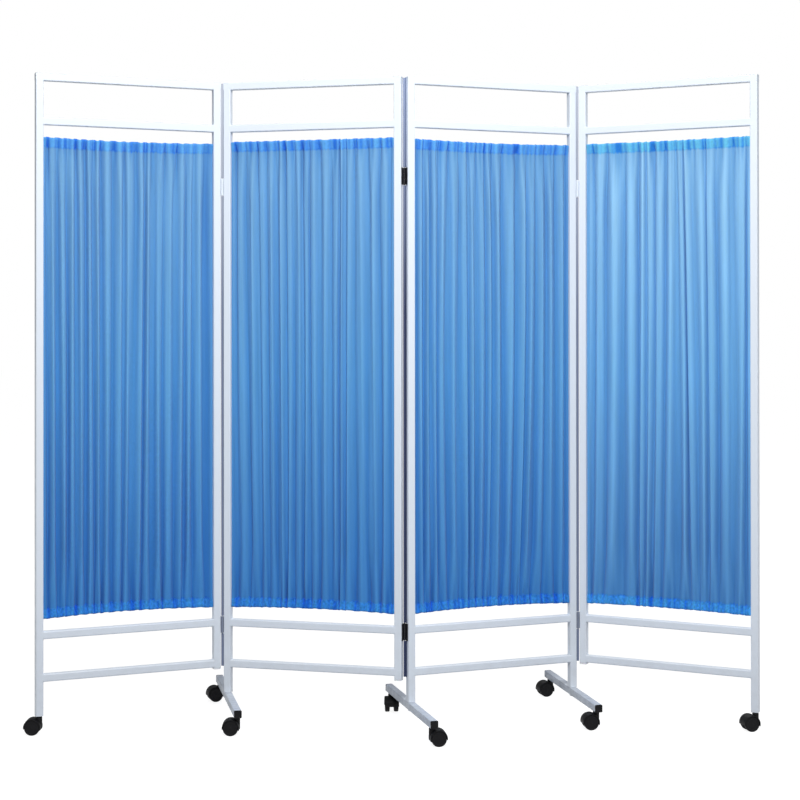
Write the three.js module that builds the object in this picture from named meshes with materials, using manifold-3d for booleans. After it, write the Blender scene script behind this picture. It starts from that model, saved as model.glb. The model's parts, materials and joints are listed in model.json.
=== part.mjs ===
// Four-panel folding ward screen on castors: white square-tube frames that fold on butt hinges, gathered
// curtains on stretched wires, two single castors under the end posts and three turning T-feet with two each.
// Millimetres. +Z is up from the floor, and the front of the screen faces -Y.
import * as THREE from "three";
import { mergeVertices } from "three/addons/utils/BufferGeometryUtils.js";
import Module from "manifold-3d";

const wasm = await Module();
wasm.setup();

// The whole screen
const screenHeight = 1725;
const panelWidth = 500;
const foldAngles = [37.9, 36.6, 48.8];
const thirdPanelHeading = 22.2;

// Clearances: pieces that seat on each other, shafts that turn in their holes, and the overrun of every cut
const seatGap = 0.3;
const runningGap = 0.3;
const cutOverrun = 1;

// Square steel tube of the frames and the feet
const tubeSize = 20;
const tubeWall = 1.2;
const tubeCorner = 2.5;
const cornerSteps = 1;

// Rails: the second rail below the top one, the bottom rail above the floor, the lower rail above that
const secondRailDrop = 115;
const bottomRailHeight = 147;
const lowerRailRise = 111;
const ventRadius = 4;

// Post ends: a thin plate takes a castor's stem, a thick one the bolt of a T-foot, and short posts are plugged
const stemPlateThickness = 3;
const nutBlockThickness = 10;
const flushStub = 1;
const longStub = 8;

// Tube end plugs
const plugFlange = 3;
const plugEdge = 0.8;
const plugDepth = 9;

// T-feet: turns are degrees from square to the panel, as the screen stands
const footLength = 450;
const footTurns = [27, -6.7, -9.6];
const footCastorInset = 20;
const boltRadius = 4;
const boltHeadRadius = 7;
const boltHeadHeight = 4.5;
const boltHeadEdge = 1.2;
const boltPastBlock = 5;
const boltSides = 10;

// Hinges: the pin lies in the plane of the post faces that fold together. The upper ones hang below the top of
// the screen, the lower ones below the middle of the lower rail.
const hingeGap = 7;
const hingeHeight = 45;
const leafDepth = 16;
const leafThickness = 1.5;
const pinRadius = 1.5;
const knuckleSides = 12;
const upperHingeDrops = [284, 264, 284];
const lowerHingeDrop = 6;

// Castors: 40 mm twin wheels under one hood
const castorHeight = 48;
const wheelRadius = 20;
const wheelWidth = 12;
const wheelEdge = 1.8;
const wheelSideGap = 0.6;
const wheelSides = 16;
const trail = 16;
const webThickness = 11;
const axleRadius = 2.5;
const axleBossRadius = 8;
const hoodGap = 1.2;
const hoodWall = 1.6;
const hoodSteps = 5;
const hoodRearAngle = -8;
const hoodFrontAngle = 196;
const webRearAngle = 48;
const swivelBossRadius = 8.5;
const swivelBossLow = 14;
const swivelBossTaper = 3;
const swivelCollarRadius = 7.5;
const swivelCollarHeight = 2.6;
const stemRadius = 4;
const stemLength = 14;
const swivelSides = 12;
const wellSides = 20;
const endCastorHeadings = [182, 194];
const footCastorHeadings = [
  [182, 200],
  [8, 275],
  [188, 196],
];

// Curtain wires: stretched between holes in the posts, hooked inside them, and drawn in by the cloth. The top
// ones hang below the middle of the second rail, and the bottom ones lie above the middle of the lower rail.
const wireRadius = 1.5;
const wireHoleGap = 0.9;
const wireSides = 6;
const wireSteps = 8;
const hookReach = 4;
const hookLength = 7;
const topWireDrops = [44.5, 39.5, 42.5, 40];
const bottomWireRise = 44.5;
const topWireBows = [4.2, 0.4, 3.8, 1.8];
const bottomWireBows = [6.4, 5.2, 6.6, 4];

// Curtains: gathered cloth, turned over the wires and sewn into a sleeve at the top and the bottom
const curtainSideGap = 0.5;
const sleeveHeight = 25;
const sleeveEdge = 3;
const sleeveHalfThickness = 3.4;
const sleeveGather = 0.6;
const seamGather = 4;
const clothHalfThickness = 1;
const sleeveFade = 34;
const foldDepth = 11;
const foldCount = 16;
const stepsPerFold = 4;

// Irregular folds: slow waves across each curtain shift its folds and make some of them shallower
const driftWaves = 1.7;
const driftShare = 0.06;
const swellWaves = 3.3;
const swellShare = 0.18;
const panelPhaseShare = 0.37;
const rowPhaseShare = 0.17;

// Sizes that follow
const postSpan = panelWidth - tubeSize;
const halfTube = tubeSize / 2;
const bore = tubeSize - 2 * tubeWall;
const topRailHeight = screenHeight - halfTube;
const railHeights = [
  topRailHeight - secondRailDrop,
  bottomRailHeight + lowerRailRise,
  bottomRailHeight,
];
const topWireHeights = topWireDrops.map((drop) => railHeights[0] - drop);
const bottomWireHeight = railHeights[1] + bottomWireRise;
const footTop = castorHeight + tubeSize;
const hingePinReach = halfTube + hingeGap / 2;
const leafFace = hingeGap / 2 - seatGap;
const wheelInnerFace = webThickness / 2 + wheelSideGap;
const wheelOuterFace = wheelInnerFace + wheelWidth;
const wheelCornerRadius = wheelRadius / Math.cos(Math.PI / wheelSides);
const hoodInnerRadius = wheelRadius + hoodGap;
const hoodOuterRadius = hoodInnerRadius + hoodWall;

const finishes = {
  whitePaint: { color: 0xe9eef3, roughness: 0.4, metalness: 0.0 },
  blackPaint: { color: 0x191c26, roughness: 0.5, metalness: 0.0 },
  whitePlastic: { color: 0xeceff2, roughness: 0.5, metalness: 0.0 },
  blackPlastic: { color: 0x17181c, roughness: 0.55, metalness: 0.0 },
  blackTread: { color: 0x1b1b1d, roughness: 0.75, metalness: 0.0 },
  steel: { color: 0xb9bcc0, roughness: 0.35, metalness: 1.0 },
  blueCloth: { color: 0x5c9ee2, roughness: 0.9, metalness: 0.0 },
};

function radians(degrees) {
  return THREE.MathUtils.degToRad(degrees);
}

// A closed mesh as a solid that can be joined and cut.
function solidOf(geometry) {
  const bare = geometry.index ? geometry.toNonIndexed() : geometry.clone();
  bare.deleteAttribute("normal");
  bare.deleteAttribute("uv");
  const merged = mergeVertices(bare);
  const mesh = new wasm.Mesh({
    numProp: 3,
    vertProperties: merged.attributes.position.array,
    triVerts: new Uint32Array(merged.index.array),
  });
  return new wasm.Manifold(mesh);
}

function geometryOf(solid) {
  const mesh = solid.getMesh();
  const geometry = new THREE.BufferGeometry();
  geometry.setAttribute("position", new THREE.BufferAttribute(mesh.vertProperties, 3));
  geometry.setIndex(new THREE.BufferAttribute(mesh.triVerts, 1));
  const faceted = geometry.toNonIndexed();
  faceted.computeVertexNormals();
  return faceted;
}

function joined(geometries) {
  return geometries.map(solidOf).reduce((whole, piece) => whole.add(piece));
}

function cutBy(whole, geometries) {
  return whole.subtract(joined(geometries));
}

function addMesh(group, name, geometry, finish) {
  const mesh = new THREE.Mesh(geometry, new THREE.MeshStandardMaterial(finish));
  mesh.name = name;
  group.add(mesh);
  return mesh;
}

// Section of the square tube, or of what has its outline.
function roundedSquare(size, corner) {
  const inner = size / 2 - corner;
  const shape = new THREE.Shape();
  shape.absarc(inner, inner, corner, 0, Math.PI / 2, false);
  shape.absarc(-inner, inner, corner, Math.PI / 2, Math.PI, false);
  shape.absarc(-inner, -inner, corner, Math.PI, 1.5 * Math.PI, false);
  shape.absarc(inner, -inner, corner, 1.5 * Math.PI, 2 * Math.PI, false);
  shape.closePath();
  return shape;
}

function extruded(shape, depth, steps) {
  return new THREE.ExtrudeGeometry(shape, { depth, bevelEnabled: false, curveSegments: steps });
}

// Tube along +Z from low to high, at x.
function uprightTube(x, low, high) {
  return extruded(roundedSquare(tubeSize, tubeCorner), high - low, cornerSteps).translate(x, 0, low);
}

// Tube along +X from start to end, at height z.
function railTube(start, end, z) {
  return extruded(roundedSquare(tubeSize, tubeCorner), end - start, cornerSteps)
    .rotateY(Math.PI / 2)
    .translate(start, 0, z);
}

function boxBetween(low, high) {
  const size = new THREE.Vector3().subVectors(high, low);
  const middle = new THREE.Vector3().addVectors(low, high).multiplyScalar(0.5);
  return new THREE.BoxGeometry(size.x, size.y, size.z).translate(middle.x, middle.y, middle.z);
}

// Round bar along +X or +Z, used for holes.
function barAlongX(radius, start, end, z, sides) {
  return new THREE.CylinderGeometry(radius, radius, end - start, sides)
    .rotateZ(Math.PI / 2)
    .translate((start + end) / 2, 0, z);
}

function barAlongZ(radius, x, y, low, high, sides) {
  return new THREE.CylinderGeometry(radius, radius, high - low, sides)
    .rotateX(Math.PI / 2)
    .translate(x, y, (low + high) / 2);
}

// How one post ends: its lowest point, and the plate and hole that close it.
function postEnd(kind, stub) {
  if (kind === "castor") {
    return { low: castorHeight + seatGap, plate: stemPlateThickness, hole: stemRadius + runningGap };
  }
  if (kind === "foot") {
    return { low: footTop + seatGap, plate: nutBlockThickness, hole: boltRadius + runningGap };
  }
  return { low: bottomRailHeight - halfTube - stub, plate: 0, hole: 0 };
}

// One welded frame: x runs from its left post, y 0 is its middle plane, z 0 is the floor.
function frameGeometry(ends, topWireHeight) {
  const outside = [railTube(-halfTube, postSpan + halfTube, topRailHeight)];
  for (const height of railHeights) outside.push(railTube(0, postSpan, height));
  const inside = [
    boxBetween(
      new THREE.Vector3(-bore / 2, -bore / 2, topRailHeight - bore / 2),
      new THREE.Vector3(postSpan + bore / 2, bore / 2, topRailHeight + bore / 2),
    ),
  ];
  for (const height of railHeights) {
    inside.push(
      boxBetween(
        new THREE.Vector3(halfTube, -bore / 2, height - bore / 2),
        new THREE.Vector3(postSpan - halfTube, bore / 2, height + bore / 2),
      ),
    );
    inside.push(barAlongX(ventRadius, 0, postSpan, height, wireSides));
  }
  for (const height of [topWireHeight, bottomWireHeight]) {
    inside.push(barAlongX(wireRadius + wireHoleGap, 0, postSpan, height, wireSides));
  }
  ends.forEach((end, index) => {
    const x = index * postSpan;
    outside.push(uprightTube(x, end.low, screenHeight));
    const boreLow = end.plate > 0 ? end.low + end.plate : end.low - cutOverrun;
    inside.push(
      boxBetween(
        new THREE.Vector3(x - bore / 2, -bore / 2, boreLow),
        new THREE.Vector3(x + bore / 2, bore / 2, topRailHeight),
      ),
    );
    if (end.plate > 0) {
      const high = end.low + end.plate + cutOverrun;
      inside.push(barAlongZ(end.hole, x, 0, end.low - cutOverrun, high, boltSides));
    }
  });
  return geometryOf(cutBy(joined(outside), inside));
}

// Plug for a tube end: its flange lies at z 0 and below, its shank goes up into the tube.
function plugGeometry() {
  const flange = new THREE.ExtrudeGeometry(roundedSquare(tubeSize - 2 * plugEdge, tubeCorner - plugEdge), {
    depth: plugFlange - plugEdge,
    curveSegments: cornerSteps,
    bevelThickness: plugEdge,
    bevelSize: plugEdge,
    bevelSegments: 1,
  });
  flange.translate(0, 0, -plugFlange - seatGap);
  const flangeTop = seatGap + plugEdge;
  const trimmed = solidOf(flange).subtract(
    solidOf(
      boxBetween(
        new THREE.Vector3(-tubeSize, -tubeSize, -seatGap),
        new THREE.Vector3(tubeSize, tubeSize, flangeTop),
      ),
    ),
  );
  const shankHalf = bore / 2 - seatGap;
  const shank = boxBetween(
    new THREE.Vector3(-shankHalf, -shankHalf, -plugFlange / 2),
    new THREE.Vector3(shankHalf, shankHalf, plugDepth),
  );
  return geometryOf(trimmed.add(solidOf(shank)));
}

// Foot tube: it runs along Y through the post's axis, with its underside at z 0.
function footGeometry() {
  const tube = extruded(roundedSquare(tubeSize, tubeCorner), footLength, cornerSteps)
    .rotateX(Math.PI / 2)
    .translate(0, footLength / 2, halfTube);
  const boreReach = footLength / 2 + cutOverrun;
  const castorReach = footLength / 2 - footCastorInset;
  const stemHole = stemRadius + runningGap;
  const boltHole = boltRadius + runningGap;
  const wallCut = tubeWall + cutOverrun;
  const cuts = [
    boxBetween(
      new THREE.Vector3(-bore / 2, -boreReach, tubeWall),
      new THREE.Vector3(bore / 2, boreReach, tubeSize - tubeWall),
    ),
    barAlongZ(boltHole, 0, 0, -cutOverrun, tubeSize + cutOverrun, boltSides),
    barAlongZ(stemHole, 0, -castorReach, -cutOverrun, wallCut, boltSides),
    barAlongZ(stemHole, 0, castorReach, -cutOverrun, wallCut, boltSides),
  ];
  return geometryOf(cutBy(solidOf(tube), cuts));
}

// Round piece turned about the Z axis from points of radius and height.
function turned(points, sides) {
  const profile = points.map(([radius, height]) => new THREE.Vector2(radius, height));
  return new THREE.LatheGeometry(profile, sides).rotateX(Math.PI / 2);
}

// Bolt that a foot turns on: z 0 is the underside of the foot.
function boltGeometry() {
  const shankTop = tubeSize + seatGap + nutBlockThickness + boltPastBlock;
  return turned(
    [
      [0, -boltHeadHeight - seatGap],
      [boltHeadRadius - boltHeadEdge, -boltHeadHeight - seatGap],
      [boltHeadRadius, -boltHeadHeight - seatGap + boltHeadEdge],
      [boltHeadRadius, -seatGap],
      [boltRadius, -seatGap],
      [boltRadius, shankTop],
      [0, shankTop],
    ],
    boltSides,
  );
}

// Half of a butt hinge: z 0 is its middle, the pin runs on the Z axis, and the leaf lies on its +X side
// and runs back along +Y. The pin half has the two outer knuckles, the other half the middle one.
function hingeLeafGeometry(hasPin) {
  const half = hingeHeight / 2;
  const third = hingeHeight / 6;
  const leaf = boxBetween(
    new THREE.Vector3(leafFace - leafThickness, 0, -half),
    new THREE.Vector3(leafFace, leafDepth, half),
  );
  const outer = [
    [-half, -third],
    [third, half],
  ];
  const middle = [[-third, third]];
  const own = hasPin ? outer : middle;
  const other = hasPin ? middle : outer;
  let hinge = solidOf(leaf);
  for (const [low, high] of other) {
    hinge = hinge.subtract(
      solidOf(barAlongZ(leafFace + runningGap, 0, 0, low - runningGap, high + runningGap, knuckleSides)),
    );
  }
  for (const [low, high] of own) {
    const shortBy = hasPin ? 0 : runningGap;
    hinge = hinge.add(
      solidOf(barAlongZ(leafFace, 0, 0, low + shortBy, high - shortBy, knuckleSides)),
    );
  }
  if (hasPin) return geometryOf(hinge.add(solidOf(barAlongZ(pinRadius, 0, 0, -half, half, knuckleSides))));
  const pinHole = barAlongZ(pinRadius + runningGap, 0, 0, -half, half, knuckleSides);
  return geometryOf(hinge.subtract(solidOf(pinHole)));
}

// Twin wheels on one axle: the axle is the Y axis.
function wheelsGeometry() {
  const points = [
    [0, -wheelOuterFace],
    [wheelCornerRadius - wheelEdge, -wheelOuterFace],
    [wheelCornerRadius, -wheelOuterFace + wheelEdge],
    [wheelCornerRadius, -wheelInnerFace],
    [axleRadius, -wheelInnerFace],
    [axleRadius, wheelInnerFace],
    [wheelCornerRadius, wheelInnerFace],
    [wheelCornerRadius, wheelOuterFace - wheelEdge],
    [wheelCornerRadius - wheelEdge, wheelOuterFace],
    [0, wheelOuterFace],
  ];
  const profile = points.map(([radius, side]) => new THREE.Vector2(radius, side));
  return new THREE.LatheGeometry(profile, wheelSides, Math.PI / wheelSides);
}

// A flat shape of the X and Z axes about the axle, as thick as given along Y.
function castorPlate(shape, thickness) {
  return extruded(shape, thickness, hoodSteps)
    .rotateX(Math.PI / 2)
    .translate(trail, thickness / 2, wheelRadius);
}

// Hood, web and swivel stem of a castor: the Z axis is its swivel axis, z 0 the floor, and it trails to +X.
function hoodGeometry() {
  const rear = radians(hoodRearAngle);
  const front = radians(hoodFrontAngle);
  const shell = new THREE.Shape();
  shell.absarc(0, 0, hoodOuterRadius, rear, front, false);
  shell.absarc(0, 0, hoodInnerRadius, front, rear, true);
  shell.closePath();
  const webRear = radians(webRearAngle);
  const web = new THREE.Shape();
  web.absarc(0, 0, hoodInnerRadius + hoodWall / 2, webRear, front, false);
  web.absarc(0, 0, axleBossRadius, front, webRear + 2 * Math.PI, false);
  web.closePath();
  const topFace = castorHeight - seatGap;
  const collarLow = topFace - swivelCollarHeight;
  const shaft = turned(
    [
      [0, swivelBossLow],
      [swivelBossRadius - swivelBossTaper, swivelBossLow],
      [swivelBossRadius, swivelBossLow + swivelBossTaper],
      [swivelBossRadius, collarLow],
      [swivelCollarRadius, topFace],
      [stemRadius, topFace],
      [stemRadius, topFace + stemLength],
      [0, topFace + stemLength],
    ],
    swivelSides,
  );
  const wheelWells = [-1, 1].map((side) =>
    new THREE.CylinderGeometry(hoodInnerRadius, hoodInnerRadius, wheelWidth, wellSides).translate(
      trail,
      (side * (webThickness + wheelWidth)) / 2,
      wheelRadius,
    ),
  );
  const hole = new THREE.CylinderGeometry(
    axleRadius + runningGap,
    axleRadius + runningGap,
    webThickness + 2 * cutOverrun,
    swivelSides,
  ).translate(trail, 0, wheelRadius);
  const boss = geometryOf(cutBy(solidOf(shaft), wheelWells));
  const body = joined([castorPlate(shell, 2 * wheelOuterFace), castorPlate(web, webThickness), boss]);
  return geometryOf(body.subtract(solidOf(hole)));
}

// Height that a drawn-in wire has at a share of its span.
function bowAt(bow, share) {
  return 4 * bow * share * (1 - share);
}

// Bowed bar between the hooks inside the two posts: bow is upwards.
function bowedBar(radius, height, bow) {
  const start = halfTube - tubeWall - hookReach;
  const end = postSpan - start;
  const middle = new THREE.Vector3((start + end) / 2, 0, height + 2 * bow);
  const path = new THREE.QuadraticBezierCurve3(
    new THREE.Vector3(start, 0, height),
    middle,
    new THREE.Vector3(end, 0, height),
  );
  const section = new THREE.Shape();
  for (let side = 0; side < wireSides; side++) {
    const turn = (2 * Math.PI * side) / wireSides;
    if (side === 0) section.moveTo(radius * Math.cos(turn), radius * Math.sin(turn));
    else section.lineTo(radius * Math.cos(turn), radius * Math.sin(turn));
  }
  section.closePath();
  return new THREE.ExtrudeGeometry(section, { steps: wireSteps, extrudePath: path });
}

function wireGeometry(height, bow) {
  const hookX = halfTube - tubeWall - hookReach;
  const hooks = [hookX, postSpan - hookX].map((x) =>
    barAlongZ(wireRadius, x, 0, height - hookLength, height + wireRadius, wireSides),
  );
  return geometryOf(joined([bowedBar(wireRadius, height, bow), ...hooks]));
}

// Rows of the cloth from its lower edge to its upper one: each has a height, the bow that it follows, the
// depth of its folds and half its thickness.
function clothRows(panel) {
  const edge = { depth: sleeveGather, half: sleeveHalfThickness };
  const seam = { depth: seamGather, half: clothHalfThickness };
  const cloth = { depth: foldDepth, half: clothHalfThickness };
  const low = bottomWireHeight - sleeveEdge;
  const high = topWireHeights[panel] + sleeveEdge;
  const lowBow = bottomWireBows[panel];
  const highBow = -topWireBows[panel];
  return [
    { z: low, bow: lowBow, ...edge },
    { z: low + sleeveHeight, bow: lowBow, ...seam },
    { z: low + sleeveHeight + sleeveFade, bow: lowBow, ...cloth },
    { z: high - sleeveHeight - sleeveFade, bow: highBow, ...cloth },
    { z: high - sleeveHeight, bow: highBow, ...seam },
    { z: high, bow: highBow, ...edge },
  ];
}

function waveAt(turns) {
  return Math.sin(2 * Math.PI * turns);
}

// How far a fold lies off the panel's middle plane, as a share of its depth: folds differ in width and depth.
function foldShare(share, row, panel) {
  const phase = panelPhaseShare * panel + rowPhaseShare * row;
  const drift = driftShare * waveAt(driftWaves * share + phase);
  const swell = 1 - swellShare + swellShare * waveAt(swellWaves * share - phase);
  return swell * waveAt(foldCount * share + drift);
}

function curtainGeometry(panel) {
  const rows = clothRows(panel);
  const columns = foldCount * stepsPerFold;
  const left = halfTube + curtainSideGap;
  const width = postSpan - 2 * left;
  const positions = [];
  for (const side of [-1, 1]) {
    rows.forEach((row, rowIndex) => {
      for (let column = 0; column <= columns; column++) {
        const share = column / columns;
        const middle = row.depth * foldShare(share, rowIndex, panel);
        positions.push(left + share * width, middle + side * row.half, row.z + bowAt(row.bow, share));
      }
    });
  }
  const stride = columns + 1;
  const backStart = rows.length * stride;
  const indices = [];
  const quad = (a, b, c, d) => indices.push(a, b, c, a, c, d);
  for (let row = 0; row < rows.length - 1; row++) {
    for (let column = 0; column < columns; column++) {
      const low = row * stride + column;
      const high = low + stride;
      quad(low, low + 1, high + 1, high);
      quad(backStart + low, backStart + high, backStart + high + 1, backStart + low + 1);
    }
    const leftLow = row * stride;
    const rightLow = leftLow + columns;
    quad(backStart + leftLow, leftLow, leftLow + stride, backStart + leftLow + stride);
    quad(rightLow, backStart + rightLow, backStart + rightLow + stride, rightLow + stride);
  }
  const topStart = (rows.length - 1) * stride;
  for (let column = 0; column < columns; column++) {
    quad(column + 1, column, backStart + column, backStart + column + 1);
    const high = topStart + column;
    quad(high, high + 1, backStart + high + 1, backStart + high);
  }
  const cloth = new THREE.BufferGeometry();
  cloth.setAttribute("position", new THREE.Float32BufferAttribute(positions, 3));
  cloth.setIndex(indices);
  const bores = [
    bowedBar(wireRadius + runningGap, bottomWireHeight, bottomWireBows[panel]),
    bowedBar(wireRadius + runningGap, topWireHeights[panel], -topWireBows[panel]),
  ];
  return geometryOf(cutBy(solidOf(cloth), bores));
}

const plug = plugGeometry();
const footTube = footGeometry();
const bolt = boltGeometry();
const pinLeaf = hingeLeafGeometry(true);
const knuckleLeaf = hingeLeafGeometry(false);
const hood = hoodGeometry();
const wheels = wheelsGeometry();

// A castor under a post or a foot: heading is where it trails to, in degrees from the X axis of the screen.
function addCastor(group, name, x, y, heading) {
  const castor = new THREE.Group();
  castor.position.set(x, y, 0);
  castor.rotation.z = radians(heading);
  addMesh(castor, name + "_hood", hood, finishes.blackPlastic);
  const pair = addMesh(castor, name + "_wheels", wheels, finishes.blackTread);
  pair.position.set(trail, 0, wheelRadius);
  group.add(castor);
}

// A T-foot under a post, its two plugs, two castors and the bolt that it turns on.
function addFoot(panel, name, x, turn, castorHeadings) {
  addMesh(panel, name + "_bolt", bolt, finishes.steel).position.set(x, 0, castorHeight);
  const foot = new THREE.Group();
  foot.position.set(x, 0, 0);
  foot.rotation.z = radians(turn);
  addMesh(foot, name + "_tube", footTube, finishes.whitePaint).position.z = castorHeight;
  [-1, 1].forEach((side, index) => {
    const end = ["front", "rear"][index];
    const endPlug = addMesh(foot, name + "_" + end + "_plug", plug, finishes.blackPlastic);
    endPlug.position.set(0, (side * footLength) / 2, castorHeight + halfTube);
    endPlug.rotation.x = (side * Math.PI) / 2;
    const reach = side * (footLength / 2 - footCastorInset);
    addCastor(foot, name + "_" + end + "_castor", 0, reach, castorHeadings[index]);
  });
  panel.add(foot);
}

// Headings of the panels and of the feet from the X axis of the screen, before each is made relative.
const headings = [
  thirdPanelHeading - foldAngles[1] + foldAngles[0],
  thirdPanelHeading - foldAngles[1],
  thirdPanelHeading,
  thirdPanelHeading - foldAngles[2],
];
const panelEnds = [
  ["castor", "short"],
  ["foot", "short"],
  ["foot", "foot"],
  ["short", "castor"],
];
const stubs = [flushStub, longStub, 0, flushStub];

let footCount = 0;
let endCastorCount = 0;
const panels = panelEnds.map((kinds, index) => {
  const number = index + 1;
  const panel = new THREE.Group();
  const ends = kinds.map((kind) => postEnd(kind, stubs[index]));
  addMesh(panel, "panel_" + number + "_frame", frameGeometry(ends, topWireHeights[index]), finishes.whitePaint);
  addMesh(panel, "panel_" + number + "_curtain", curtainGeometry(index), finishes.blueCloth);
  const topWire = wireGeometry(topWireHeights[index], -topWireBows[index]);
  addMesh(panel, "panel_" + number + "_top_wire", topWire, finishes.steel);
  const bottomWire = wireGeometry(bottomWireHeight, bottomWireBows[index]);
  addMesh(panel, "panel_" + number + "_bottom_wire", bottomWire, finishes.steel);
  kinds.forEach((kind, end) => {
    const x = end * postSpan;
    if (kind === "short") {
      const cap = addMesh(panel, "panel_" + number + "_post_plug", plug, finishes.whitePlastic);
      cap.position.set(x, 0, ends[end].low);
    } else if (kind === "foot") {
      const turn = footTurns[footCount];
      const heading = headings[index] + turn;
      const castorTurns = footCastorHeadings[footCount].map((castor) => castor - heading);
      footCount += 1;
      addFoot(panel, "foot_" + footCount, x, turn, castorTurns);
    } else {
      const name = ["left", "right"][endCastorCount] + "_end_castor";
      addCastor(panel, name, x, 0, endCastorHeadings[endCastorCount] - headings[index]);
      endCastorCount += 1;
    }
  });
  return panel;
});

// The two hinges of a joint: the pin leaf is on the panel left of it, the knuckle leaf on the right one.
// pinSide is -1 where the pins lie at the front faces, which then fold together, and 1 at the back faces.
function addHinges(leftPanel, rightPanel, name, pinSide, upperDrop, finish) {
  [screenHeight - upperDrop, railHeights[1] - lowerHingeDrop].forEach((height, index) => {
    const place = name + ["_upper", "_lower"][index];
    const left = addMesh(leftPanel, place + "_hinge_pin_leaf", pinLeaf, finish);
    left.position.set(postSpan + hingePinReach, pinSide * halfTube, height);
    const right = addMesh(rightPanel, place + "_hinge_knuckle_leaf", knuckleLeaf, finish);
    right.position.set(-hingePinReach, pinSide * halfTube, height);
    if (pinSide < 0) {
      left.rotation.y = Math.PI;
    } else {
      left.rotation.z = Math.PI;
      right.rotation.x = Math.PI;
    }
  });
}

addHinges(panels[0], panels[1], "left", -1, upperHingeDrops[0], finishes.whitePaint);
addHinges(panels[1], panels[2], "middle", 1, upperHingeDrops[1], finishes.blackPaint);
addHinges(panels[2], panels[3], "right", -1, upperHingeDrops[2], finishes.whitePaint);

// A panel hangs from its neighbour's hinge pins: x of the pin in each of the two panels, and the turn.
function hang(panel, ownPinX, parent, parentPinX, pinSide, turn) {
  const pivot = new THREE.Group();
  pivot.position.set(parentPinX, pinSide * halfTube, 0);
  pivot.rotation.z = radians(turn);
  panel.position.set(-ownPinX, -pinSide * halfTube, 0);
  pivot.add(panel);
  parent.add(pivot);
}

const leftPinX = -hingePinReach;
const rightPinX = postSpan + hingePinReach;
hang(panels[1], rightPinX, panels[2], leftPinX, 1, -foldAngles[1]);
hang(panels[0], rightPinX, panels[1], leftPinX, -1, foldAngles[0]);
hang(panels[3], leftPinX, panels[2], rightPinX, -1, -foldAngles[2]);
panels[2].rotation.z = radians(thirdPanelHeading);

// The origin is on the floor, below the middle of the whole screen.
const screen = new THREE.Group();
screen.add(panels[2]);
screen.updateMatrixWorld(true);
const extent = new THREE.Box3().setFromObject(screen, true);
const centre = extent.getCenter(new THREE.Vector3());
const placed = new THREE.Group();
placed.position.set(-centre.x, -centre.y, -extent.min.z);
placed.add(screen);

const wardScreen = new THREE.Group();
wardScreen.add(placed);

export default wardScreen;
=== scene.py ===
"""Four-panel folding ward screen on castors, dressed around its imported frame."""
import json
import math

import bpy
import numpy as np
from mathutils import Matrix, Vector


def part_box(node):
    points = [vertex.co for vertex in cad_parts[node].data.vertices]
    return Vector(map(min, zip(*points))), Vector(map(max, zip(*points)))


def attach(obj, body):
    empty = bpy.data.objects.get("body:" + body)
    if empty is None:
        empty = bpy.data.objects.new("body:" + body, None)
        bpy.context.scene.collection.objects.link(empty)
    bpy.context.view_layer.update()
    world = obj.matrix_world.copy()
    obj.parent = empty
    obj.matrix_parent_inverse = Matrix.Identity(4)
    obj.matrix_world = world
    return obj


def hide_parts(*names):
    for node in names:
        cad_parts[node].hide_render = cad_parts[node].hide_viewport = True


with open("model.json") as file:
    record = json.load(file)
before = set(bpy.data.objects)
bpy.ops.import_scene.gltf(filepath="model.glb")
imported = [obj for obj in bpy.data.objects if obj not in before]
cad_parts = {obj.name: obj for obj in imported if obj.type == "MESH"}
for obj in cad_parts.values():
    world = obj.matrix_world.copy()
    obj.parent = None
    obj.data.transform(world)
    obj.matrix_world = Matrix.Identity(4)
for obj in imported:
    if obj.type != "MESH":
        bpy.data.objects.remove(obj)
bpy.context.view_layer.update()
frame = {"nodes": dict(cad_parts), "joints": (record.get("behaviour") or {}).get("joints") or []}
scene = bpy.context.scene

# Camera: a little right of the screen's middle and as high as a person's chest, four and a half metres in
# front of it. It looks level, and the small shift sets the screen where the photograph has it.
camera_data = bpy.data.cameras.new("camera")
camera_data.lens = 76.39
camera_data.sensor_width = 36
camera_data.shift_x = -0.01575
camera_data.shift_y = -0.110


def new_piece(name, data):
    """An object of this mesh, lamp or camera, in the scene."""
    piece = bpy.data.objects.new(name, data)
    scene.collection.objects.link(piece)
    return piece


camera = new_piece("camera", camera_data)
camera.matrix_world = (
    Matrix.Translation((0.0622, -4.5969, 1.0784))
    @ Matrix.Rotation(0.0027, 4, "Z")
    @ Matrix.Rotation(math.radians(90) + 0.0049, 4, "X")
    @ Matrix.Rotation(-0.0009, 4, "Z")
)
scene.camera = camera
scene.view_settings.view_transform = "Standard"

# Frames: each panel is two posts and four rails of 20 mm square steel tube, butted and welded. They are
# powder coated, a satin white skin with a faint orange peel that softens the tube's corners, and the coat
# is drawn darker, in clouds, from 40 cm down to the floor.
POST_SPAN = 480
TUBE_HALF = 10
PIN_REACH = 13.5
PIN_DEPTH = 10
MILLIMETRES = Matrix.Scale(0.001, 4)
DARKENED_HEIGHTS = (0.40, 0.03)
NOISE_SPAN = (0.3, 0.7)
joints = {joint["name"]: joint for joint in frame["joints"]}
panel_pins = {
    1: (("left_end_castor_swivel", 0, 0), ("left_fold", POST_SPAN + PIN_REACH, -PIN_DEPTH)),
    2: (("left_fold", -PIN_REACH, -PIN_DEPTH), ("middle_fold", POST_SPAN + PIN_REACH, PIN_DEPTH)),
    3: (("middle_fold", -PIN_REACH, PIN_DEPTH), ("right_fold", POST_SPAN + PIN_REACH, -PIN_DEPTH)),
    4: (("right_fold", -PIN_REACH, -PIN_DEPTH), ("right_end_castor_swivel", POST_SPAN, 0)),
}


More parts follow.
